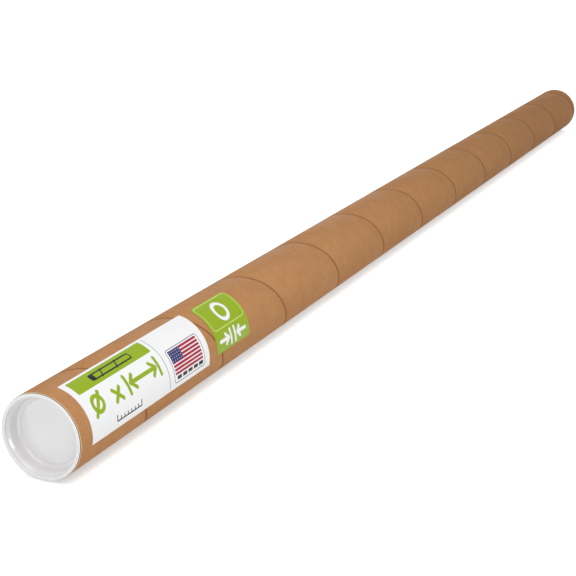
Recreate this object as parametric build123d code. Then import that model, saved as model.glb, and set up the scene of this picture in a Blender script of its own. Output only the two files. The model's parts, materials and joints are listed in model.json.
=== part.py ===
from build123d import *
import os
from math import ceil, cos, degrees, radians, sin

# Kraft mailing tube lying on its side, with a push-in cap in each end and two stuck-on labels
# The tube's axis runs along X at the height of its outer radius, and the labelled end is at -X
# Angles round the tube go from +Y at 0 over the top at 90 to the front, -Y, at 180

# Spiral-wound tube
tube_length = 1219.2
inner_diameter = 50.8
wall = 1.778

# Open joint between the turns of the outer ply's strip, each turn counted from the tube's underside
seam_pitch = 104.0
seam_gap = 0.5
seam_depth = 0.3
seam_run_out = 9.5
turn_start_angle = -93.7

# Moulded end cap
flange_thickness = 1.5
flange_inset = 0.33
plug_fit = 0.05
plug_wall = 1.05
plug_taper = 0.9
recess_depth = 10.5
floor_thickness = 1.1
channel_depth = 0.5
channel_width = 3.4

# Broken edges of the cap
rim_chamfer = 0.4
mouth_chamfer = 0.4
lead_in_chamfer = 0.9

# Labels, each a paper sheet on a film of glue
label_thickness = 0.12
glue_film = 0.1
size_label_margin = 12.0
size_label_length = 144.5
size_label_width = 43.2
size_label_top_angle = 99.5
label_spacing = 11.5
grade_label_length = 49.0
grade_label_width = 39.1
grade_label_top_angle = 102.0
grade_label_corner = 5.0

# Sizes that follow from these
inner_radius = inner_diameter / 2
outer_radius = inner_radius + wall
near_end = -tube_length / 2
far_end = tube_length / 2
grade_label_margin = size_label_margin + size_label_length + label_spacing


def across_tube(x, facing=1):
    """The plane across the tube at x, centred on its axis and facing +X or -X."""
    return Plane(origin=(x, 0, outer_radius), x_dir=(0, 1, 0), z_dir=(facing, 0, 0))


def seam_turn():
    """One turn of the helical notch that the outer ply leaves between its turns."""
    path = Helix(seam_pitch, seam_pitch, outer_radius)
    section_plane = Plane(origin=path @ 0, x_dir=(1, 0, 0), z_dir=path % 0)
    root = (-seam_depth, 0)
    mouth = [(seam_depth, -seam_gap), (seam_depth, seam_gap)]
    section = section_plane * make_face(Polyline(root, *mouth, close=True))
    return sweep(section, path=path, is_frenet=True)


def spiral_tube():
    """The wound paperboard tube, with the outer ply's seam let into its outside."""
    winding = Rot(0, 0, turn_start_angle)
    ring = winding * (Circle(outer_radius) - Circle(inner_radius))
    one_turn = winding * seam_turn()
    turns = ceil((tube_length + seam_run_out) / seam_pitch) + 1
    starts = [near_end - seam_run_out + turn * seam_pitch for turn in range(turns)]
    seam = [across_tube(start) * one_turn for start in starts]
    return extrude(across_tube(near_end) * ring, tube_length) - seam


def cap_profile():
    """Half section of the cap: across is radius, up is out of the tube, and 0 is the tube's end."""
    plug_top = inner_radius - plug_fit
    plug_end = plug_top - plug_taper
    recess_end = plug_end - plug_wall
    panel_edge = recess_end - channel_width
    flange_edge = outer_radius - flange_inset
    panel = flange_thickness - recess_depth
    channel = panel - channel_depth
    underside = channel - floor_thickness

    mouth = (plug_top - plug_wall, flange_thickness)
    rim = (flange_edge, flange_thickness)
    plug_corner = (plug_end, underside)
    outline = [
        (0, panel),
        (panel_edge, panel),
        (panel_edge + channel_depth, channel),
        (recess_end, channel),
        mouth,
        rim,
        (flange_edge, 0),
        (plug_top, 0),
        plug_corner,
        (0, underside),
    ]
    face = make_face(Polyline(*outline, close=True))
    flange_limit = flange_thickness / 3
    for corner, break_length in (
        (mouth, min(mouth_chamfer, flange_limit)),
        (rim, min(rim_chamfer, flange_limit)),
        (plug_corner, lead_in_chamfer),
    ):
        face = chamfer(face.vertices().sort_by_distance((*corner, 0))[0], break_length)
    return face


def end_cap(x, facing):
    """The cap turned about the tube's axis, its flange on the tube's end at x."""
    return across_tube(x, facing) * revolve(Plane.XZ * cap_profile(), Axis.Z)


def wrapped_label(margin, length, width, top_angle):
    """A thin sheet rolled on the tube, from its top edge down the front."""
    inside = outer_radius + glue_film
    outside = inside + label_thickness
    arc = degrees(width / outer_radius)
    under = CenterArc((0, 0), inside, top_angle, arc)
    over = CenterArc((0, 0), outside, top_angle, arc)
    edges = [Line(under @ end, over @ end) for end in (0, 1)]
    return extrude(across_tube(near_end + margin) * make_face([under, over, *edges]), length)


def grade_label():
    """The short label, with its two upper corners rounded."""
    sheet = wrapped_label(
        grade_label_margin, grade_label_length, grade_label_width, grade_label_top_angle
    )
    start = near_end + grade_label_margin
    angle = radians(grade_label_top_angle) + grade_label_corner / outer_radius
    outward = (0, cos(angle), sin(angle))
    for x, side in (
        (start + grade_label_corner, Align.MAX),
        (start + grade_label_length - grade_label_corner, Align.MIN),
    ):
        facing_label = Plane(origin=(x, 0, outer_radius), x_dir=(1, 0, 0), z_dir=outward)
        square = Rectangle(2 * grade_label_corner, 2 * grade_label_corner, align=(side, Align.MIN))
        trimming = square - Circle(grade_label_corner)
        sheet -= extrude(facing_label * trimming, 2 * outer_radius)
    return sheet


solids = {
    "kraft_tube": spiral_tube(),
    "near_end_cap": end_cap(near_end, -1),
    "far_end_cap": end_cap(far_end, 1),
    "size_label": wrapped_label(
        size_label_margin, size_label_length, size_label_width, size_label_top_angle
    ),
    "grade_label": grade_label(),
}

os.makedirs("parts", exist_ok=True)
for name, solid in solids.items():
    export_step(solid, f"parts/{name}.step")
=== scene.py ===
import json
from collections import namedtuple
from math import atan2, ceil, pi, radians, tau

import bmesh
import bpy
from bpy.props import FloatProperty, FloatVectorProperty, IntProperty, PointerProperty
from mathutils import Matrix, Vector


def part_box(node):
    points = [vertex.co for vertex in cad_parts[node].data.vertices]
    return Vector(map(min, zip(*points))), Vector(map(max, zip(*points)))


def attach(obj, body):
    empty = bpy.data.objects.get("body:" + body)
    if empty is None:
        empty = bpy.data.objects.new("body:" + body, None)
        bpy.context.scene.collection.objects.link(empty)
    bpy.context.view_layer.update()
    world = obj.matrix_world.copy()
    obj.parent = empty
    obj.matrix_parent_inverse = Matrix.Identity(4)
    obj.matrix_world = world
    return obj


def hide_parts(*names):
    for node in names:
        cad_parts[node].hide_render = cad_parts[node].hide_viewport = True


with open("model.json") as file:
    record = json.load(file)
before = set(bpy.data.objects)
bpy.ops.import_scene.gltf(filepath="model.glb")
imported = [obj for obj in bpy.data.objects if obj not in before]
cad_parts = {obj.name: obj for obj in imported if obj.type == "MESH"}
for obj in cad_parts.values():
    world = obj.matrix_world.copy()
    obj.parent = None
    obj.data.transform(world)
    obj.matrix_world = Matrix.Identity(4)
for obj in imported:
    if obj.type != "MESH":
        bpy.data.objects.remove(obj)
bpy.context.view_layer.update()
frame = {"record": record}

bl_info = {
    "name": "Kraft mailing tube",
    "version": (1, 0, 0),
    "blender": (4, 5, 0),
    "location": "View3D > Sidebar > Mailing tube",
    "description": "Models a spiral-wound mailing tube with its caps, labels and photo stage",
    "category": "Object",
}

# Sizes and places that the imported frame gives, in metres
outside = next(mount for mount in frame["record"]["mounts"] if mount["name"] == "tube_outside")
tube_radius = outside["dims"]["r_mm"] / 1000
axis_height = outside["pos_m"][2]
near_end, far_end = (corner.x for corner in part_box("kraft_tube"))
cap_low, cap_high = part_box("near_end_cap")
flange_top = near_end - cap_low.x
flange_edge = (cap_high.y - cap_low.y) / 2
cap_reach = cap_high.x - near_end

# Places nearer to each other than this count as one, in metres
snap = 1e-6


# Kinds of setting

def screen(red, green, blue):
    """A colour as a screen shows it, 0 to 255, turned into the linear one that shaders read."""
    values = [c / 255 for c in (red, green, blue)]
    linear = [c / 12.92 if c <= 0.04045 else ((c + 0.055) / 1.055) ** 2.4 for c in values]
    return (*linear, 1.0)


def size(name, description, default):
    return FloatProperty(name=name, description=description, default=default, unit="LENGTH", precision=5)


def amount(name, description, default, unit="NONE"):
    return FloatProperty(name=name, description=description, default=default, unit=unit)


def angle(name, description, default):
    return FloatProperty(name=name, description=description, default=radians(default), subtype="ANGLE")


def colour(name, description, red, green, blue):
    return FloatVectorProperty(
        name=name, description=description, default=screen(red, green, blue), size=4, subtype="COLOR",
        min=0.0, max=1.0,
    )


def point(name, description, x, y, z):
    return FloatVectorProperty(
        name=name, description=description, default=(x, y, z), subtype="TRANSLATION", unit="LENGTH",
        precision=5,
    )


def face_size(name, description, width, height):
    return FloatVectorProperty(
        name=name, description=description, default=(width, height), size=2, unit="LENGTH", precision=3
    )


class TubeSettings(bpy.types.PropertyGroup):
    """The wound board tube."""

    wall: size("Wall", "Thickness of the wound board", 0.001778)
    seam_pitch: size("Seam pitch", "Length of tube that one turn of the outer ply covers", 0.104)
    seam_place: size("Seam place", "Where the seam crosses the tube's back, from the near end", 0.01757)
    seam_gap: size("Seam gap", "Width of the open joint between the ply's turns", 0.0005)
    seam_depth: size("Seam depth", "Thickness of the outer ply at the joint", 0.0003)
    cut_break: size("Cut break", "Broken edge that the saw leaves at the tube's ends", 0.00025)
    ply: size("Ply", "Thickness of one of the wall's plies", 0.0003)
    round_steps: IntProperty(name="Steps round", description="Facets in one turn", default=128, min=24)
    board: colour("Board", "Middle colour of the kraft ply", 186, 135, 90)
    board_dark: colour("Dark fibre", "Colour of the ply's dark fibres", 146, 96, 54)
    board_light: colour("Light fibre", "Colour of the ply's light fibres", 206, 160, 116)
    cut_edge: colour("Cut edge", "Pale board where the saw has opened it", 232, 206, 172)
    cut_core: colour("Cut core", "Darker board of the inner plies, where they are cut", 150, 108, 72)
    # Painted shade as well as glue: the ring that this colours lies in the shade under the cap's flange
    cut_glue_and_shade: colour("Cut glue", "Dark glue under the outer ply, where it is cut", 80, 52, 30)
    seam_shade: colour("Seam shade", "Colour down in the seam", 112, 68, 34)
    liner: colour("Liner", "Colour of the inner ply", 168, 136, 106)


class CapSettings(bpy.types.PropertyGroup):
    """The moulded push-in caps."""

    mouth_radius: size("Mouth radius", "Radius of the recess at its mouth", 0.0243)
    collar_radius: size("Collar radius", "Radius of the recess above its flank", 0.02462)
    collar_depth: size("Collar depth", "From the flange's face to the flank", 0.0016)
    flank_radius: size("Flank radius", "Radius of the recess below its flank", 0.0233)
    flank_depth: size("Flank depth", "From the flange's face to the flank's foot", 0.00406)
    recess_end: size("Recess end", "Radius of the recess at its floor", 0.0232)
    recess_depth: size("Recess depth", "Depth of the recess to its raised panel", 0.0105)
    panel_radius: size("Panel radius", "Radius of the raised middle of the floor", 0.0200)
    panel_rise: size("Panel rise", "Height of the raised middle over the channel round it", 0.0005)
    plug_top: size("Plug top", "Radius of the plug under its flange", 0.02535)
    plug_end: size("Plug end", "Radius of the plug at its far end", 0.02445)
    panel_round: size("Panel rounding", "Rounding of the raised panel's edge", 0.0005)
    floor_round: size("Floor rounding", "Rounding in the corner of the recess", 0.002)
    flank_round: size("Flank rounding", "Rounding above and below the flank", 0.0005)
    mouth_round: size("Mouth rounding", "Rounding of the recess's mouth", 0.0012)
    rim_round: size("Rim rounding", "Rounding of the flange's outer edge", 0.0005)
    under_round: size("Under rounding", "Rounding of the flange's edge on the tube's side", 0.0009)
    lead_round: size("Lead-in rounding", "Rounding that leads the plug into the tube", 0.0008)
    round_steps: IntProperty(name="Steps round", description="Facets in one turn", default=160, min=24)
    plastic: colour("Plastic", "Colour of the moulded caps", 236, 234, 235)


class LabelSettings(bpy.types.PropertyGroup):
    """The two stuck-on paper labels."""

    paper: size("Paper", "Thickness of the label paper", 0.00012)
    glue: size("Glue", "Film of glue under the labels", 0.0001)
    size_length: size("Size label length", "Length of the white label along the tube", 0.1445)
    size_width: size("Size label width", "Width of the white label round the tube", 0.0432)
    size_margin: size("Size label margin", "From the near end to the white label", 0.012)
    size_top: angle("Size label top", "Angle of the white label's upper edge round the tube", 99.5)
    grade_length: size("Grade label length", "Length of the green label along the tube", 0.049)
    grade_width: size("Grade label width", "Width of the green label round the tube", 0.0391)
    grade_margin: size("Grade label margin", "From the near end to the green label", 0.168)
    grade_top: angle("Grade label top", "Angle of the green label's upper edge round the tube", 102.0)
    grade_corner: size("Grade label corner", "Radius of the green label's upper corners", 0.005)
    round_steps: IntProperty(name="Steps round", description="Facets across a label", default=36, min=8)
    white: colour("White", "Colour of the label paper", 235, 235, 236)
    green: colour("Green", "Printed green", 141, 168, 4)
    black: colour("Black", "Printed black", 10, 10, 10)
    blue: colour("Blue", "Printed blue", 48, 47, 106)
    red: colour("Red", "Printed red", 164, 0, 52)
    frame: colour("Frame", "Printed grey-blue of the panel's frame", 74, 78, 108)
    rule: colour("Rule", "Printed grey of the thin rule", 104, 108, 116)
    pale: colour("Pale green", "Printed pale green of the outlined panel", 190, 208, 104)


class StageSettings(bpy.types.PropertyGroup):
    """Camera, floor and light."""

    camera_place: point("Camera", "Where the camera stands", -1.200912, -0.425312, 0.338540)
    camera_aim: FloatVectorProperty(
        name="Aim", description="The way the camera looks", default=(0.86925, 0.39577, -0.29628),
        subtype="DIRECTION",
    )
    lens: amount("Lens", "Focal length in millimetres", 84.16, "CAMERA")
    floor_reach: size("Floor", "Half the width of the floor", 30.0)
    near_lift: amount("Near lift", "Glow seen on the floor by the labelled end", 0.43)
    far_lift: amount("Far lift", "Glow seen on the floor by the far end", 0.56)
    side_lift: amount("Side lift", "More of that glow from the tube's side outward", 0.28)
    back_lift: amount("Back lift", "More of that glow behind the labelled end", 0.25)
    open_lift: amount("Open lift", "Glow seen on the open floor", 0.64)
    sky: amount("Sky", "Strength of the even light from all round", 0.46)
    overhead_place: point("Overhead lamp", "Middle of the long softbox over the tube", -0.66, -0.25, 0.95)
    overhead_aim: point("Overhead aim", "Where the long softbox points", -0.56, 0.0, 0.0)
    overhead_size: face_size("Overhead size", "Width and depth of the long softbox", 1.2, 0.5)
    overhead_power: amount("Overhead power", "Watts of the long softbox", 5.2, "POWER")
    front_place: point("Front lamp", "Middle of the softbox before the labelled end", -1.7, -0.1, 0.45)
    front_aim: point("Front aim", "Where the softbox before the labelled end points", -0.55, 0.0, 0.03)
    front_size: face_size("Front size", "Width and height of that softbox", 0.5, 0.4)
    front_power: amount("Front power", "Watts of that softbox", 2.6, "POWER")
    side_place: point("Side lamp", "Middle of the low softbox before the tube", -0.48, -1.1, 0.4)
    side_aim: point("Side aim", "Where the low softbox points", -0.48, 0.0, 0.03)
    side_size: face_size("Side size", "Width and height of the low softbox", 0.28, 0.4)
    side_power: amount("Side power", "Watts of the low softbox", 2.6, "POWER")
    back_place: point("Back lamp", "Middle of the softbox behind the far end", 1.3, 0.9, 0.35)
    back_aim: point("Back aim", "Where the softbox behind points", 0.45, 0.0, 0.03)
    back_size: face_size("Back size", "Width and height of the softbox behind", 0.6, 0.4)
    back_power: amount("Back power", "Watts of the softbox behind", 4.0, "POWER")
    strip_place: point("Strip lamp", "Middle of the strip that the cap's gloss shows", -0.765, -1.1, 0.3)
    strip_aim: point("Strip aim", "Where the strip points", -0.55, 0.0, 0.03)
    strip_size: face_size("Strip size", "Width and height of the strip", 0.08, 0.56)
    strip_power: amount("Strip power", "Watts of the strip", 1.6, "POWER")


# Modelling steps

def clear_selection():
    if bpy.context.object and bpy.context.object.mode != "OBJECT":
        bpy.ops.object.mode_set(mode="OBJECT")
    bpy.ops.object.select_all(action="DESELECT")


def pick(piece):
    """Selects this piece and no other."""
    clear_selection()
    bpy.context.view_layer.objects.active = piece
    piece.select_set(True)


def edit(piece):
    pick(piece)
    bpy.ops.object.mode_set(mode="EDIT")


def leave_edit():
    bpy.ops.object.mode_set(mode="OBJECT")


def choose(piece, kind, test):
    """In edit mode, selects the vertices, edges or faces that pass the test and no others."""
    bpy.ops.mesh.select_mode(type=kind)
    bpy.ops.mesh.select_all(action="DESELECT")
    mesh = bmesh.from_edit_mesh(piece.data)
    parts = {"VERT": mesh.verts, "EDGE": mesh.edges, "FACE": mesh.faces}[kind]
    for part in parts:
        if test(part):
            part.select_set(True)
    mesh.select_flush_mode()
    bmesh.update_edit_mesh(piece.data)


def choose_open_end(piece, x):
    """In edit mode, selects the open edges that lie across the tube at x."""
    choose(
        piece, "EDGE",
        lambda edge: len(edge.link_faces) < 2 and all(abs(v.co.x - x) < snap for v in edge.verts),
    )


def draw_line(name, points):
    """A new piece, left in edit mode, whose mesh is a line drawn by extruding one vertex."""
    clear_selection()
    bpy.ops.mesh.primitive_plane_add(size=0.001)
    piece = bpy.context.object
    piece.name = piece.data.name = name
    bpy.ops.object.mode_set(mode="EDIT")
    bpy.ops.mesh.merge(type="CENTER")
    bpy.ops.transform.translate(value=points[0])
    for start, end in zip(points, points[1:]):
        step = Vector(end) - Vector(start)
        bpy.ops.mesh.extrude_region_move(TRANSFORM_OT_translate={"value": step})
    return piece


def round_corners(piece, corners, offset, segments):
    """Rounds the drawn line at these points."""
    places = [Vector(corner) for corner in corners]
    choose(piece, "VERT", lambda vertex: any((vertex.co - place).length < snap for place in places))
    bpy.ops.mesh.bevel(offset=offset, segments=segments, affect="VERTICES")


def close_up():
    """Merges doubles and turns all faces outward."""
    bpy.ops.mesh.select_mode(type="VERT")
    bpy.ops.mesh.select_all(action="SELECT")
    bpy.ops.mesh.remove_doubles(threshold=snap)
    bpy.ops.mesh.normals_make_consistent(inside=False)


def apply_modifier(piece, kind, **values):
    modifier = piece.modifiers.new(kind.lower(), kind)
    for name, value in values.items():
        setattr(modifier, name, value)
    bpy.ops.object.modifier_apply(modifier=modifier.name)


def settle(piece, place, turn=0.0):
    """Turns a piece about X and puts it in place, with both kept in its mesh."""
    leave_edit()
    piece.rotation_euler.x = turn
    bpy.ops.object.transform_apply(location=False, rotation=True, scale=False)
    piece.location = place
    bpy.ops.object.transform_apply(location=True, rotation=False, scale=False)


def smooth(piece, limit):
    pick(piece)
    bpy.ops.object.shade_smooth_by_angle(angle=radians(limit))


def finish_piece(piece, materials, body, node):
    """Dresses a closed piece, ties it to its body and hides the node that it stands for."""
    mesh = bmesh.new()
    mesh.from_mesh(piece.data)
    open_edges = sum(not edge.is_manifold for edge in mesh.edges)
    mesh.free()
    if open_edges:
        raise RuntimeError(f"{piece.name} isn't closed: {open_edges} open edges")
    for material in materials:
        piece.data.materials.append(material)
    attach(piece, body)
    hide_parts(node)


# Shader steps

def feed(tree, socket, value):
    """Gives an input a link or a plain value."""
    if isinstance(value, bpy.types.NodeSocket):
        tree.links.new(value, socket)
    elif value is not None:
        socket.default_value = value


def put(tree, kind, feeds=(), **values):
    """Adds a node, sets it, and feeds its inputs in order or by key."""
    node = tree.nodes.new(kind)
    for name, value in values.items():
        setattr(node, name, value)
    for key, value in feeds.items() if isinstance(feeds, dict) else enumerate(feeds):
        feed(tree, node.inputs[key], value)
    return node


def sums(tree, operation, *feeds):
    return put(tree, "ShaderNodeMath", feeds, operation=operation).outputs[0]


def vectors(tree, operation, first, second=None):
    second_key = 3 if operation == "SCALE" else 1
    node = put(tree, "ShaderNodeVectorMath", {0: first, second_key: second}, operation=operation)
    return node.outputs["Value" if operation == "LENGTH" else "Vector"]


def split(tree, vector):
    return put(tree, "ShaderNodeSeparateXYZ", [vector]).outputs


def join(tree, *parts):
    return put(tree, "ShaderNodeCombineXYZ", parts).outputs[0]


def spread(tree, value, low, high, to_low=0.0, to_high=1.0, kind="LINEAR"):
    """Spreads a value's range over another one."""
    feeds = (value, low, high, to_low, to_high)
    return put(tree, "ShaderNodeMapRange", feeds, interpolation_type=kind, clamp=True).outputs[0]


def tint(tree, share, first, second):
    """Mixes a share of the second colour into the first."""
    return put(tree, "ShaderNodeMix", {0: share, 6: first, 7: second}, data_type="RGBA").outputs[2]


def part_tint(tree, mask, strength, first, second):
    """Mixes the second colour in where the mask is, at this strength."""
    return tint(tree, sums(tree, "MULTIPLY", mask, strength), first, second)


def noise(tree, place, detail=3.0, roughness=0.55):
    feeds = {"Vector": place, "Scale": 1.0, "Detail": detail, "Roughness": roughness}
    return put(tree, "ShaderNodeTexNoise", feeds).outputs[0]


def new_group(name, inputs, outputs):
    """A shader node group with these sockets, and its ends."""
    tree = bpy.data.node_groups.new(name, "ShaderNodeTree")
    for label, kind in inputs:
        tree.interface.new_socket(label, in_out="INPUT", socket_type="NodeSocket" + kind)
    for label, kind in outputs:
        tree.interface.new_socket(label, in_out="OUTPUT", socket_type="NodeSocket" + kind)
    return tree, put(tree, "NodeGroupInput").outputs, put(tree, "NodeGroupOutput")


def socket_name(word):
    return word.replace("_", " ").title()


def give(tree, out, **values):
    """Links a group's results to its outputs by name."""
    for name, value in values.items():
        tree.links.new(value, out.inputs[socket_name(name)])


def use(tree, group, **feeds):
    """Places a node group in a material and feeds it by name."""
    node = put(tree, "ShaderNodeGroup", node_tree=group)
    for name, value in feeds.items():
        feed(tree, node.inputs[socket_name(name)], value)
    return node.outputs


# Effects that several materials share

def strip_space():
    """Unrolls the tube into the ply's strip, and gives how far the seam is and on which side."""
    if "Strip space" in bpy.data.node_groups:
        return bpy.data.node_groups["Strip space"]
    tree, into, out = new_group(
        "Strip space",
        [("Place", "Vector"), ("Pitch", "Float"), ("Start", "Float")],
        [("Strip", "Vector"), ("Seam", "Float"), ("Side", "Float")],
    )
    lean = sums(tree, "ARCTAN2", into["Pitch"], tau * tube_radius)
    level = sums(tree, "COSINE", lean)
    width = sums(tree, "MULTIPLY", into["Pitch"], level)
    x, y, z = split(tree, into["Place"])
    turn = sums(tree, "ARCTAN2", y, sums(tree, "SUBTRACT", z, axis_height))
    steps = sums(tree, "DIVIDE", sums(tree, "SUBTRACT", x, into["Start"]), into["Pitch"])
    phase = sums(tree, "ADD", sums(tree, "SUBTRACT", steps, 0.25), sums(tree, "DIVIDE", turn, tau))
    across = sums(tree, "MULTIPLY", sums(tree, "FRACT", phase), width)
    round_way = sums(tree, "MULTIPLY", sums(tree, "MULTIPLY", turn, -tube_radius), level)
    along = sums(tree, "ADD", round_way, sums(tree, "MULTIPLY", x, sums(tree, "SINE", lean)))
    middle = sums(tree, "SUBTRACT", sums(tree, "FRACT", sums(tree, "ADD", phase, 0.5)), 0.5)
    side = sums(tree, "MULTIPLY", middle, width)
    give(tree, out, strip=join(tree, along, across), seam=sums(tree, "ABSOLUTE", side), side=side)
    return tree


def paper_fibre():
    """Fibres laid along X, soft clouds, small flecks and long streaks, as in pressed paper."""
    if "Paper fibre" in bpy.data.node_groups:
        return bpy.data.node_groups["Paper fibre"]
    tree, into, out = new_group(
        "Paper fibre",
        [("Place", "Vector"), ("Fibre Length", "Float"), ("Fibre Width", "Float")],
        [("Fibre", "Float"), ("Cloud", "Float"), ("Fleck", "Float"), ("Streak", "Float")],
    )
    along = sums(tree, "DIVIDE", 1.0, into["Fibre Length"])
    across = sums(tree, "DIVIDE", 1.0, into["Fibre Width"])
    laid = vectors(tree, "MULTIPLY", into["Place"], join(tree, along, across, across))
    clouded = vectors(tree, "SCALE", into["Place"], 90.0)
    fine = vectors(tree, "MULTIPLY", into["Place"], (520.0, 1100.0, 1100.0))
    drawn = vectors(tree, "MULTIPLY", into["Place"], (7.0, 420.0, 420.0))
    give(
        tree, out,
        fibre=spread(tree, noise(tree, laid, 5.0, 0.62), 0.32, 0.68),
        cloud=spread(tree, noise(tree, clouded), 0.3, 0.7),
        fleck=spread(tree, noise(tree, fine, 1.0), 0.66, 0.74),
        streak=spread(tree, noise(tree, drawn, 3.0, 0.6), 0.3, 0.7),
    )
    return tree


def handling_wear():
    """Faint scuffs and rubbed patches from handling and stacking."""
    if "Handling wear" in bpy.data.node_groups:
        return bpy.data.node_groups["Handling wear"]
    tree, into, out = new_group(
        "Handling wear", [("Place", "Vector")], [("Scuff", "Float"), ("Rub", "Float")]
    )
    dragged = vectors(tree, "MULTIPLY", into["Place"], (60.0, 1400.0, 900.0))
    patch = spread(tree, noise(tree, vectors(tree, "SCALE", into["Place"], 22.0), 2.0), 0.52, 0.72)
    give(
        tree, out,
        scuff=sums(tree, "MULTIPLY", spread(tree, noise(tree, dragged, 2.0), 0.58, 0.7), patch),
        rub=spread(tree, noise(tree, vectors(tree, "SCALE", into["Place"], 45.0), 4.0, 0.6), 0.5, 0.75),
    )
    return tree


def printed_bar():
    """One printed mark on a label: a bar with round corners, turned, full or drawn as a line."""
    if "Printed bar" in bpy.data.node_groups:
        return bpy.data.node_groups["Printed bar"]
    tree, into, out = new_group(
        "Printed bar",
        [("Place", "Vector"), ("Middle", "Vector"), ("Half Size", "Vector"), ("Corner", "Float"),
         ("Turn", "Float"), ("Line", "Float")],
        [("Mark", "Float")],
    )
    moved = vectors(tree, "SUBTRACT", into["Place"], into["Middle"])
    back = sums(tree, "MULTIPLY", into["Turn"], -1.0)
    level = put(tree, "ShaderNodeVectorRotate", {"Vector": moved, "Angle": back}, rotation_type="Z_AXIS")
    straight = vectors(tree, "SUBTRACT", into["Half Size"], join(tree, into["Corner"], into["Corner"]))
    x, y, _ = split(tree, vectors(tree, "SUBTRACT", vectors(tree, "ABSOLUTE", level.outputs[0]), straight))
    past = join(tree, sums(tree, "MAXIMUM", x, 0.0), sums(tree, "MAXIMUM", y, 0.0))
    inside = sums(tree, "MINIMUM", sums(tree, "MAXIMUM", x, y), 0.0)
    away = sums(tree, "ADD", vectors(tree, "LENGTH", past), inside)
    away = sums(tree, "SUBTRACT", away, into["Corner"])
    half_line = sums(tree, "MULTIPLY", into["Line"], 0.5)
    off_line = sums(tree, "SUBTRACT", sums(tree, "ABSOLUTE", sums(tree, "ADD", away, half_line)), half_line)
    drawn = sums(tree, "GREATER_THAN", into["Line"], 0.0)
    either = put(tree, "ShaderNodeMix", {0: drawn, 2: away, 3: off_line}, data_type="FLOAT")
    bleed = 0.06
    give(tree, out, mark=spread(tree, either.outputs[0], bleed, -bleed))
    return tree


# Materials

def new_material(name):
    """A material with its shader, and the object's own coordinates."""
    material = bpy.data.materials.new(name)
    material.use_nodes = True
    tree = material.node_tree
    place = put(tree, "ShaderNodeTexCoord").outputs["Object"]
    return material, tree, tree.nodes["Principled BSDF"], place


def roughen(tree, shader, height, distance, strength=1.0):
    bump = put(tree, "ShaderNodeBump", {"Height": height, "Distance": distance, "Strength": strength})
    feed(tree, shader.inputs["Normal"], bump.outputs[0])


def kraft_outside(s):
    """The smooth outer ply: fibres along the strip, a dark seam with soft painted shade along both its
    sides, and a painted highlight along one of its edges.
    """
    material, tree, shader, place = new_material("kraft outside")
    strip = use(tree, strip_space(), place=place, pitch=s.seam_pitch, start=near_end + s.seam_place)
    fibre = use(tree, paper_fibre(), place=strip["Strip"], fibre_length=0.0022, fibre_width=0.0006)
    wear = use(tree, handling_wear(), place=place)
    shade = part_tint(tree, fibre["Fibre"], 0.62, s.board, s.board_dark)
    shade = part_tint(tree, fibre["Cloud"], 0.22, shade, s.board_light)
    shade = part_tint(tree, fibre["Streak"], 0.11, shade, s.board_light)
    shade = part_tint(tree, fibre["Fleck"], 0.45, shade, s.board_dark)
    shade = part_tint(tree, wear["Scuff"], 0.25, shade, s.board_light)
    # Painted shade: a soft darker band on both sides of the seam
    painted_seam_shade = spread(tree, strip["Seam"], 0.0003, 0.003, 0.34, 0.0, "SMOOTHSTEP")
    shade = tint(tree, painted_seam_shade, shade, s.board_dark)
    # Painted highlight: a lighter band along one edge of the seam, where that edge would catch the light
    seam_highlight_from = spread(tree, strip["Side"], 0.0004, 0.0007)
    seam_highlight_to = spread(tree, strip["Side"], 0.0016, 0.0008)
    shade = part_tint(tree, sums(tree, "MULTIPLY", seam_highlight_from, seam_highlight_to), 0.2, shade, s.board_light)
    joint = spread(tree, strip["Seam"], 0.00022, 0.0009, 0.75, 0.0, "SMOOTHSTEP")
    feed(tree, shader.inputs["Base Color"], tint(tree, joint, shade, s.seam_shade))
    rough = spread(tree, fibre["Fibre"], 0.0, 1.0, 0.62, 0.74)
    rough = sums(tree, "SUBTRACT", rough, sums(tree, "MULTIPLY", wear["Rub"], 0.12))
    feed(tree, shader.inputs["Roughness"], rough)
    height = sums(tree, "ADD", fibre["Fibre"], sums(tree, "MULTIPLY", fibre["Cloud"], 0.8))
    roughen(tree, shader, height, 0.00004, 0.7)
    shader.inputs["Specular IOR Level"].default_value = 0.03
    return material


def kraft_cut(s):
    """The sawn end: a pale broken edge, just inside it a dark glue ring darkened into painted shade, and
    the plies as thin rings.
    """
    material, tree, shader, place = new_material("kraft cut edge")
    _, y, z = split(tree, place)
    radius = vectors(tree, "LENGTH", join(tree, y, sums(tree, "SUBTRACT", z, axis_height)))
    depth = sums(tree, "SUBTRACT", tube_radius, radius)
    between = sums(tree, "PINGPONG", sums(tree, "DIVIDE", depth, s.ply), 0.5)
    line = spread(tree, between, 0.0, 0.16, 0.6, 0.0)
    inner = spread(tree, depth, s.cut_break, s.cut_break * 1.2, 0.0, 0.85)
    fibre = use(tree, paper_fibre(), place=place, fibre_length=0.0008, fibre_width=0.0003)
    shade = part_tint(tree, fibre["Fibre"], 0.4, s.cut_edge, s.board_light)
    # Painted shade: the glue ring just inside the broken edge is darkened to stand for the shade under the
    # cap's flange
    glue_and_shade_ring = spread(tree, depth, s.ply * 2, s.ply * 3, 1.0, 0.0)
    shade = tint(tree, inner, shade, tint(tree, glue_and_shade_ring, s.cut_core, s.cut_glue_and_shade))
    shade = tint(tree, sums(tree, "MULTIPLY", line, inner), shade, s.seam_shade)
    feed(tree, shader.inputs["Base Color"], shade)
    feed(tree, shader.inputs["Roughness"], spread(tree, fibre["Cloud"], 0.0, 1.0, 0.82, 0.95))
    roughen(tree, shader, fibre["Fibre"], 0.00012)
    return material


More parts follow.
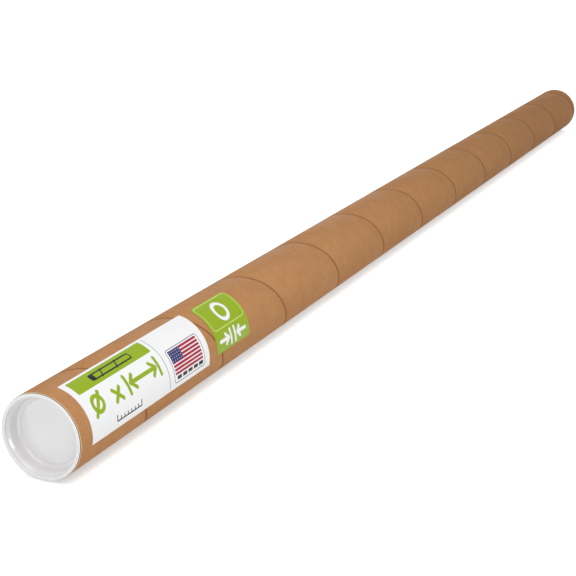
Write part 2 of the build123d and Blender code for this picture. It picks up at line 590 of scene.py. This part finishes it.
def kraft_liner(s):
    """The coarser inner ply."""
    material, tree, shader, place = new_material("kraft liner")
    strip = use(tree, strip_space(), place=place, pitch=s.seam_pitch, start=near_end)
    fibre = use(tree, paper_fibre(), place=strip["Strip"], fibre_length=0.003, fibre_width=0.0009)
    shade = part_tint(tree, fibre["Fibre"], 0.5, s.liner, s.board_dark)
    shade = part_tint(tree, fibre["Cloud"], 0.3, shade, s.board_light)
    shade = tint(tree, spread(tree, strip["Seam"], 0.0003, 0.0006, 0.7, 0.0), shade, s.seam_shade)
    feed(tree, shader.inputs["Base Color"], shade)
    feed(tree, shader.inputs["Roughness"], spread(tree, fibre["Fibre"], 0.0, 1.0, 0.78, 0.92))
    roughen(tree, shader, fibre["Fibre"], 0.00008)
    return material


def darker(colour_value, *shares):
    return (*(c * share for c, share in zip(colour_value, shares)), 1.0)


def cap_plastic(s):
    """Soft white moulded plastic, glossy, with a fine skin and a few handling marks."""
    material, tree, shader, place = new_material("cap plastic")
    wear = use(tree, handling_wear(), place=place)
    clouds = noise(tree, vectors(tree, "SCALE", place, 60.0))
    skin = noise(tree, vectors(tree, "SCALE", place, 900.0), 2.0)
    cool = darker(s.plastic, 0.95, 0.955, 0.965)
    dull = darker(s.plastic, 0.86, 0.86, 0.86)
    shade = tint(tree, spread(tree, clouds, 0.35, 0.7, 0.0, 0.5), s.plastic, cool)
    feed(tree, shader.inputs["Base Color"], part_tint(tree, wear["Scuff"], 0.14, shade, dull))
    rough = spread(tree, clouds, 0.3, 0.7, 0.09, 0.13)
    rough = sums(tree, "ADD", rough, sums(tree, "MULTIPLY", wear["Rub"], 0.05))
    feed(tree, shader.inputs["Roughness"], rough)
    roughen(tree, shader, sums(tree, "ADD", skin, sums(tree, "MULTIPLY", wear["Scuff"], 0.5)), 0.00001, 0.5)
    return material


def label_material(name, length, width, ground, inks, marks, tube):
    """Label paper with its print: each ink is laid where its marks are, and the seam shows through."""
    material, tree, shader, place = new_material(name)
    sheet = tree.nodes["Texture Coordinate"].outputs["UV"]
    flat = vectors(tree, "MULTIPLY", sheet, (length * 1000, -width * 1000, 0.0))
    flat = vectors(tree, "ADD", flat, (0.0, width * 1000, 0.0))
    in_metres = vectors(tree, "SCALE", flat, 0.001)
    fibre = use(tree, paper_fibre(), place=in_metres, fibre_length=0.0016, fibre_width=0.0005)
    wear = use(tree, handling_wear(), place=place)
    cloud_grey = (0.5, 0.5, 0.52, 1.0)
    fibre_grey = (0.3, 0.3, 0.3, 1.0)
    rubbed_white = (0.85, 0.84, 0.82, 1.0)
    shade = ground
    for ink in dict.fromkeys(mark.ink for mark in marks):
        laid = 0.0
        for mark in marks:
            if mark.ink == ink:
                shape = use(
                    tree, printed_bar(), place=flat, middle=(mark.x, mark.y, 0.0),
                    half_size=(mark.half_x, mark.half_y, 0.0), corner=mark.corner, turn=mark.turn,
                    line=mark.line,
                )
                laid = sums(tree, "MAXIMUM", laid, shape["Mark"])
        shade = tint(tree, laid, shade, inks[ink])
    shade = part_tint(tree, fibre["Cloud"], 0.02, shade, cloud_grey)
    shade = part_tint(tree, fibre["Fibre"], 0.015, shade, fibre_grey)
    shade = part_tint(tree, wear["Scuff"], 0.16, shade, rubbed_white)
    feed(tree, shader.inputs["Base Color"], shade)
    rough = spread(tree, fibre["Cloud"], 0.0, 1.0, 0.36, 0.46)
    rough = sums(tree, "ADD", rough, sums(tree, "MULTIPLY", wear["Rub"], 0.1))
    feed(tree, shader.inputs["Roughness"], rough)
    shader.inputs["Specular IOR Level"].default_value = 0.15
    strip = use(tree, strip_space(), place=place, pitch=tube.seam_pitch, start=near_end + tube.seam_place)
    sunk = spread(tree, strip["Seam"], 0.0002, 0.0016, 1.0, 0.0, "SMOOTHSTEP")
    height = sums(tree, "SUBTRACT", sums(tree, "MULTIPLY", fibre["Fibre"], 0.25), sunk)
    roughen(tree, shader, height, 0.00005, 0.8)
    return material


# Printed marks, in millimetres right and down from the label's upper left corner

Mark = namedtuple("Mark", "ink x y half_x half_y corner turn line")


def bar(ink, left, top, right, bottom, corner=0.0, line=0.0):
    """A bar between these edges, full or drawn as a line."""
    x, y = (left + right) / 2, (top + bottom) / 2
    return Mark(ink, x, y, right - x, bottom - y, corner, 0.0, line)


def ring(ink, x, y, radius, line=0.0):
    """A disc, or a ring with a line of this weight."""
    return Mark(ink, x, y, radius, radius, radius, 0.0, line)


def stroke(ink, start, end, weight):
    """A line with round ends from one point to another."""
    middle = (Vector(start) + Vector(end)) / 2
    way = Vector(end) - Vector(start)
    half = (way.length + weight) / 2
    return Mark(ink, middle.x, middle.y, half, weight / 2, weight / 2, atan2(way.y, way.x), 0.0)


def arrow(ink, tail, tip, barb, weight):
    """A shaft with two barbs at its tip."""
    back = (Vector(tail) - Vector(tip)).normalized() * barb
    barbs = [Vector(tip) + Matrix.Rotation(radians(lean), 2) @ back for lean in (-42, 42)]
    return [stroke(ink, tail, tip, weight), *(stroke(ink, tip, end, weight) for end in barbs)]


def tube_sign(ink, left, top, right, bottom, weight):
    """A capped tube drawn from its side, with two turns of its seam."""
    height = bottom - top
    feet = [left + height * place for place in (2.0, 5.0)]
    return [
        bar(ink, left, top, right, bottom, height * 0.3, weight),
        bar(ink, left, top, left + height * 0.9, bottom, height * 0.3),
        *(stroke(ink, (foot, bottom), (foot + height * 0.6, top), weight) for foot in feet),
    ]


def ruler_sign(ink, left, top, bottom, step, steps, line):
    """A line with short ticks up from it, longer at both ends."""
    marks = [bar(ink, left, bottom - line, left + step * steps + line, bottom)]
    for tick in range(steps + 1):
        x = left + step * tick
        marks.append(bar(ink, x, top if tick in (0, steps) else top + 1.5, x + line, bottom))
    return marks


def striped_panel(left, top, right, bottom, stripes):
    """Red stripes on white paper, with a blue block of white dots in the upper left corner."""
    stripe = (bottom - top) / stripes
    rows = [top + stripe * row for row in range(0, stripes, 2)]
    marks = [bar("red", left, row, right, row + stripe * 1.36) for row in rows]
    marks.append(bar("blue", left, top, left + 14.0, top + stripe * 7))
    for row in range(4):
        y = top + 1.3 + 1.95 * row
        marks += [ring("white", left + 1.7 + 2.65 * column, y, 0.3) for column in range(5)]
    return marks


def size_print():
    """The white label: a band with a tube on it, signs for diameter and length, a ruler and a panel."""
    marks = [bar("green", 5.0, 1.7, 87.0, 12.6, corner=1.2)]
    marks += tube_sign("black", 24.0, 4.4, 69.0, 9.8, 1.1)
    top, middle, bottom, weight = 16.7, 22.5, 28.3, 2.7
    marks.append(ring("green", 14.0, middle, 6.3, weight))
    marks.append(stroke("green", (8.6, bottom + 0.6), (19.4, top - 0.6), weight))
    marks.append(stroke("green", (31.0, 20.4), (38.4, 27.8), weight))
    marks.append(stroke("green", (31.0, 27.8), (38.4, 20.4), weight))
    for end, tip in ((47.0, 50.2), (83.6, 80.4)):
        marks.append(stroke("green", (end, top), (end, bottom), weight))
        marks += arrow("green", (65.3, middle), (tip, middle), 6.4, weight)
    marks += ruler_sign("black", 27.0, 34.9, 39.2, 4.0, 7, 0.9)
    marks.append(bar("rule", 90.8, 1.6, 91.3, 41.6))
    marks.append(bar("frame", 97.0, 17.3, 138.0, 40.1, corner=2.5, line=0.5))
    dashes = [100.6 + 7.2 * dash for dash in range(5)]
    marks += [bar("black", dash, 35.8, dash + 5.6, 38.2, corner=0.4) for dash in dashes]
    return marks + striped_panel(99.0, 18.7, 135.5, 34.4, 13)


def grade_print():
    """The green label: an outlined panel with a tube's cut end, and its wall between two arrows."""
    marks = [bar("pale", 1.8, 0.8, 47.6, 23.7, corner=4.0, line=0.8)]
    marks.append(ring("white", 24.6, 12.6, 8.3, 3.0))
    middle, weight = 31.6, 2.5
    for side in (-1, 1):
        wall = 24.5 + side * 3.0
        marks.append(stroke("white", (wall, 26.8), (wall, 36.4), weight))
        marks += arrow("white", (24.5 + side * 18.5, middle), (wall + side * 3.4, middle), 5.0, weight)
    return marks


# Pieces

class MAILING_TUBE_OT_tube(bpy.types.Operator):
    """Winds the board tube from one strip, cuts its ends and opens its bore"""

    bl_idname = "mailing_tube.tube"
    bl_label = "Kraft tube"

    def execute(self, context):
        s = context.scene.tube_settings
        tube = self.wind(s)
        self.cut_ends(tube, s)
        self.open_bore(tube, s)
        settle(tube, (0, 0, axis_height))
        self.part_faces(tube, s)
        smooth(tube, 40)
        board = [kraft_outside(s), kraft_cut(s), kraft_liner(s)]
        finish_piece(tube, board, "tube", "kraft_tube")
        return {"FINISHED"}

    def wind(self, s):
        """Winds one strip round X, from seam to seam, to past both ends of the tube."""
        half_gap = s.seam_gap / 2
        # The ply's rounded edge, from the bottom of the joint up to the flat of the strip
        lip = [
            (0.0, -s.seam_depth),
            (half_gap * 0.5, -s.seam_depth * 0.75),
            (half_gap * 0.9, -s.seam_depth * 0.2),
            (half_gap * 1.6, 0.0),
        ]
        far_lip = [(s.seam_pitch - x, drop) for x, drop in reversed(lip)]
        profile = [*lip, (s.seam_pitch / 2, 0.0), *far_lip]
        start = near_end + s.seam_place - 2 * s.seam_pitch
        tube = draw_line("wound_tube", [(start + x, tube_radius + drop, 0.0) for x, drop in profile])
        leave_edit()
        apply_modifier(
            tube, "SCREW", axis="X", angle=tau, screw_offset=s.seam_pitch,
            iterations=ceil((far_end - start) / s.seam_pitch) + 1,
            steps=s.round_steps, render_steps=s.round_steps,
        )
        edit(tube)
        close_up()
        return tube

    def cut_ends(self, tube, s):
        """Cuts the tube to length and breaks its outer edges."""
        shrink = 1 - s.cut_break / tube_radius
        for end, outward in ((near_end, -1), (far_end, 1)):
            cut = end - outward * s.cut_break
            bpy.ops.mesh.select_all(action="SELECT")
            bpy.ops.mesh.bisect(
                plane_co=(cut, 0, 0), plane_no=(1, 0, 0), threshold=snap / 10,
                clear_inner=outward < 0, clear_outer=outward > 0,
            )
            choose_open_end(tube, cut)
            bpy.ops.mesh.extrude_edges_move(TRANSFORM_OT_translate={"value": (end - cut, 0, 0)})
            bpy.ops.transform.resize(value=(1, shrink, shrink), center_override=(end, 0, 0))

    def open_bore(self, tube, s):
        """Adds the bore's wall and joins it to the outside at both ends."""
        bpy.ops.mesh.select_all(action="DESELECT")
        bpy.ops.mesh.primitive_circle_add(
            vertices=s.round_steps, radius=tube_radius - s.wall, location=(near_end, 0, 0),
            rotation=(0, pi / 2, 0),
        )
        bpy.ops.mesh.extrude_edges_move(TRANSFORM_OT_translate={"value": (far_end - near_end, 0, 0)})
        for end in (near_end, far_end):
            choose_open_end(tube, end)
            bpy.ops.mesh.fill()
        close_up()

    def part_faces(self, tube, s):
        """Gives the cut ends and the bore their own materials."""
        for face in tube.data.polygons:
            from_end = min(face.center.x - near_end, far_end - face.center.x)
            radius = Vector((face.center.y, face.center.z - axis_height)).length
            if abs(face.normal.x) > 0.5 and from_end < s.cut_break:
                face.material_index = 1
            elif radius < tube_radius - s.wall + 10 * snap:
                face.material_index = 2


class MAILING_TUBE_OT_caps(bpy.types.Operator):
    """Turns the moulded cap from its half section and sets one in each end"""

    bl_idname = "mailing_tube.caps"
    bl_label = "End caps"

    def execute(self, context):
        s = context.scene.cap_settings
        cap = self.draw_half_section(s)
        bpy.ops.mesh.select_all(action="SELECT")
        bpy.ops.mesh.spin(steps=s.round_steps, angle=tau, center=(0, 0, 0), axis=(1, 0, 0))
        close_up()
        settle(cap, (0, 0, axis_height))
        smooth(cap, 50)
        bpy.ops.object.duplicate()
        twin = context.object
        twin.name = twin.data.name = "far_cap"
        edit(twin)
        bpy.ops.mesh.select_all(action="SELECT")
        bpy.ops.transform.resize(value=(-1, 1, 1), center_override=(0, 0, 0))
        close_up()
        leave_edit()
        plastic = cap_plastic(s)
        finish_piece(cap, [plastic], "near_cap", "near_end_cap")
        finish_piece(twin, [plastic], "far_cap", "far_end_cap")
        return {"FINISHED"}

    def draw_half_section(self, s):
        """The near cap's outline from its axis out over the flange and back, with its corners rounded."""

        def at(radius, out):
            return Vector((near_end - out, radius, 0.0))

        panel = flange_top - s.recess_depth
        channel = panel - s.panel_rise
        panel_edge = at(s.panel_radius, panel)
        channel_edge = at(s.panel_radius + 2 * s.panel_rise, channel)
        floor_corner = at(s.recess_end, channel)
        flank_foot = at(s.flank_radius, flange_top - s.flank_depth)
        flank_top = at(s.collar_radius, flange_top - s.collar_depth)
        mouth = at(s.mouth_radius, flange_top)
        rim = at(flange_edge, flange_top)
        under_rim = at(flange_edge, 0.0)
        lead_in = at(s.plug_end, -cap_reach)
        flank = [flank_foot.lerp(flank_top, share) for share in (0.0, 0.25, 0.75, 1.0)]
        cap = draw_line("near_cap", [
            at(0.0, panel), panel_edge, channel_edge, floor_corner, *flank, mouth, rim, under_rim,
            at(s.plug_top, 0.0), lead_in, at(0.0, -cap_reach),
        ])
        round_corners(cap, [panel_edge, channel_edge], s.panel_round, 5)
        round_corners(cap, [flank_foot, flank_top], s.flank_round, 4)
        round_corners(cap, [floor_corner], s.floor_round, 6)
        round_corners(cap, [lead_in], s.lead_round, 5)
        round_corners(cap, [mouth], s.mouth_round, 6)
        round_corners(cap, [rim], s.rim_round, 5)
        round_corners(cap, [under_rim], s.under_round, 6)
        return cap


def lay_label(name, length, width, margin, top, corner, s):
    """Cuts a flat sheet, rolls it to the tube and gives the paper its thickness."""
    arc = width / tube_radius
    roll = tube_radius + s.glue
    height = arc * roll
    clear_selection()
    bpy.ops.mesh.primitive_plane_add(size=1, rotation=(pi / 2, 0, 0))
    label = bpy.context.object
    label.name = label.data.name = name
    bpy.ops.object.transform_apply(location=False, rotation=True, scale=False)
    edit(label)
    bpy.ops.transform.resize(value=(length, 1, height), center_override=(0, 0, 0))
    if corner:
        choose(label, "VERT", lambda vertex: vertex.co.z > 0)
        bpy.ops.mesh.bevel(offset=corner, segments=10, affect="VERTICES")
    for step in range(1, s.round_steps):
        bpy.ops.mesh.select_all(action="SELECT")
        cut = height * (step / s.round_steps - 0.5)
        bpy.ops.mesh.bisect(plane_co=(0, 0, cut), plane_no=(0, 0, 1))
    leave_edit()
    apply_modifier(label, "SIMPLE_DEFORM", deform_method="BEND", deform_axis="X", angle=arc)
    apply_modifier(label, "SOLIDIFY", thickness=s.paper, offset=1.0)
    edit(label)
    bpy.ops.mesh.select_all(action="SELECT")
    bpy.ops.transform.translate(value=(0, -roll, 0))
    settle(label, (near_end + margin + length / 2, 0, axis_height), top + arc / 2 - pi)
    smooth(label, 40)
    return label


class MAILING_TUBE_OT_size_label(bpy.types.Operator):
    """Lays the long white label with its size signs"""

    bl_idname = "mailing_tube.size_label"
    bl_label = "Size label"

    def execute(self, context):
        s = context.scene.label_settings
        label = lay_label("white_label", s.size_length, s.size_width, s.size_margin, s.size_top, 0.0, s)
        inks = {
            "green": s.green, "black": s.black, "rule": s.rule, "frame": s.frame, "red": s.red,
            "blue": s.blue, "white": s.white,
        }
        paper = label_material(
            "white label paper", s.size_length, s.size_width, s.white, inks, size_print(),
            context.scene.tube_settings,
        )
        finish_piece(label, [paper], "tube", "size_label")
        return {"FINISHED"}


class MAILING_TUBE_OT_grade_label(bpy.types.Operator):
    """Lays the short green label with its wall signs"""

    bl_idname = "mailing_tube.grade_label"
    bl_label = "Grade label"

    def execute(self, context):
        s = context.scene.label_settings
        label = lay_label(
            "green_label", s.grade_length, s.grade_width, s.grade_margin, s.grade_top, s.grade_corner, s
        )
        inks = {"pale": s.pale, "white": s.white}
        paper = label_material(
            "green label paper", s.grade_length, s.grade_width, s.green, inks, grade_print(),
            context.scene.tube_settings,
        )
        finish_piece(label, [paper], "tube", "grade_label")
        return {"FINISHED"}


class MAILING_TUBE_OT_stage(bpy.types.Operator):
    """Lays the floor, lights it and sets the camera"""

    bl_idname = "mailing_tube.stage"
    bl_label = "Stage"

    def execute(self, context):
        s = context.scene.stage_settings
        clear_selection()
        bpy.ops.mesh.primitive_plane_add(size=2 * s.floor_reach)
        floor = context.object
        floor.name = "floor"
        floor.data.materials.append(self.floor_material(s))
        self.light_room(context, s)
        parts = ("place", "aim", "size", "power")
        for name in ("overhead", "front", "side", "back", "strip"):
            lamp = self.set_lamp(name, *(getattr(s, f"{name}_{part}") for part in parts))
            # The strip is only there for the gloss
            lamp.visible_diffuse = name != "strip"
        bpy.ops.object.camera_add(location=s.camera_place)
        camera = context.object
        camera.rotation_euler = Vector(s.camera_aim).to_track_quat("-Z", "Y").to_euler()
        camera.data.lens = s.lens
        camera.data.clip_end = 200
        context.scene.camera = camera
        context.scene.view_settings.view_transform = "Standard"
        return {"FINISHED"}

    def seen(self, tree):
        """1 where a ray from the camera, a gloss or a clear surface looks."""
        ray = put(tree, "ShaderNodeLightPath").outputs
        shown = sums(tree, "MAXIMUM", ray["Is Camera Ray"], ray["Is Glossy Ray"])
        return sums(tree, "MAXIMUM", shown, ray["Is Transmission Ray"])

    def floor_material(self, s):
        """White paper whose glow hides the horizon; the glow is painted light, which narrows the tube's
        shadow next to it and paints that shadow out behind the labelled end.
        """
        material, tree, shader, place = new_material("white floor")
        seen = self.seen(tree)
        # The camera sees a cooler white than the light meets, so that the tube's shadow, warmed by light
        # bounced off the kraft, reads grey: a painted change to the shadow's colour
        lighting_white = (0.88, 0.89, 0.87, 1.0)
        shadow_white = (0.78, 0.88, 0.92, 1.0)
        feed(tree, shader.inputs["Base Color"], tint(tree, seen, lighting_white, shadow_white))
        shader.inputs["Roughness"].default_value = 1.0
        shader.inputs["Specular IOR Level"].default_value = 0.0
        shader.inputs["Emission Color"].default_value = (1.0, 1.0, 1.0, 1.0)
        x, y, _ = split(tree, place)
        lift = spread(tree, x, near_end, far_end, s.near_lift, s.far_lift)
        # Painted light: the glow rises from the tube's side outward, which narrows its shadow, and behind
        # the labelled end it paints that shadow out
        aside = spread(tree, sums(tree, "ABSOLUTE", y), 0.01, 0.03, 0.0, s.side_lift, "SMOOTHSTEP")
        behind = spread(tree, y, -0.01, 0.02, 0.0, s.back_lift, "SMOOTHSTEP")
        by_cap = spread(tree, x, near_end, near_end + 0.15, 1.0, 0.0, "SMOOTHSTEP")
        lift = sums(tree, "ADD", lift, aside)
        lift = sums(tree, "ADD", lift, sums(tree, "MULTIPLY", behind, by_cap))
        beyond = sums(tree, "MAXIMUM", sums(tree, "SUBTRACT", sums(tree, "ABSOLUTE", x), far_end), 0.0)
        away = vectors(tree, "LENGTH", join(tree, beyond, y))
        lift = sums(tree, "MAXIMUM", lift, spread(tree, away, 0.15, 0.6, 0.0, s.open_lift, "SMOOTHSTEP"))
        feed(tree, shader.inputs["Emission Strength"], sums(tree, "MULTIPLY", seen, lift))
        return material

    def light_room(self, context, s):
        """An even white room, which looks white and lights the object less."""
        world = context.scene.world or bpy.data.worlds.new("white room")
        context.scene.world = world
        world.use_nodes = True
        tree = world.node_tree
        sky = tree.nodes["Background"]
        sky.inputs["Color"].default_value = (1.0, 1.0, 1.0, 1.0)
        feed(tree, sky.inputs["Strength"], spread(tree, self.seen(tree), 0.0, 1.0, s.sky, 1.0))

    def set_lamp(self, name, place, aim, face, power):
        """A flat lamp, level along its width, that points where it is aimed."""
        bpy.ops.object.light_add(type="AREA", location=place)
        lamp = bpy.context.object
        lamp.name = f"{name} lamp"
        lamp.rotation_euler = (Vector(aim) - Vector(place)).to_track_quat("-Z", "Y").to_euler()
        lamp.data.shape = "RECTANGLE"
        lamp.data.size, lamp.data.size_y = face
        lamp.data.energy = power
        return lamp


class MAILING_TUBE_PT_sidebar(bpy.types.Panel):
    """The pieces, in the order in which they are made"""

    bl_idname = "MAILING_TUBE_PT_sidebar"
    bl_label = "Mailing tube"
    bl_space_type = "VIEW_3D"
    bl_region_type = "UI"
    bl_category = "Mailing tube"

    def draw(self, context):
        for operator in operators:
            self.layout.operator(operator.bl_idname)


settings = {
    "tube_settings": TubeSettings,
    "cap_settings": CapSettings,
    "label_settings": LabelSettings,
    "stage_settings": StageSettings,
}
operators = (
    MAILING_TUBE_OT_tube,
    MAILING_TUBE_OT_caps,
    MAILING_TUBE_OT_size_label,
    MAILING_TUBE_OT_grade_label,
    MAILING_TUBE_OT_stage,
)


def register():
    for kind in (*settings.values(), *operators, MAILING_TUBE_PT_sidebar):
        bpy.utils.register_class(kind)
    for name, kind in settings.items():
        setattr(bpy.types.Scene, name, PointerProperty(type=kind))


def unregister():
    for name in settings:
        delattr(bpy.types.Scene, name)
    for kind in (MAILING_TUBE_PT_sidebar, *operators, *settings.values()):
        bpy.utils.unregister_class(kind)


def main():
    register()
    bpy.ops.mailing_tube.tube()
    bpy.ops.mailing_tube.caps()
    bpy.ops.mailing_tube.size_label()
    bpy.ops.mailing_tube.grade_label()
    bpy.ops.mailing_tube.stage()


if __name__ == "__main__":
    main()
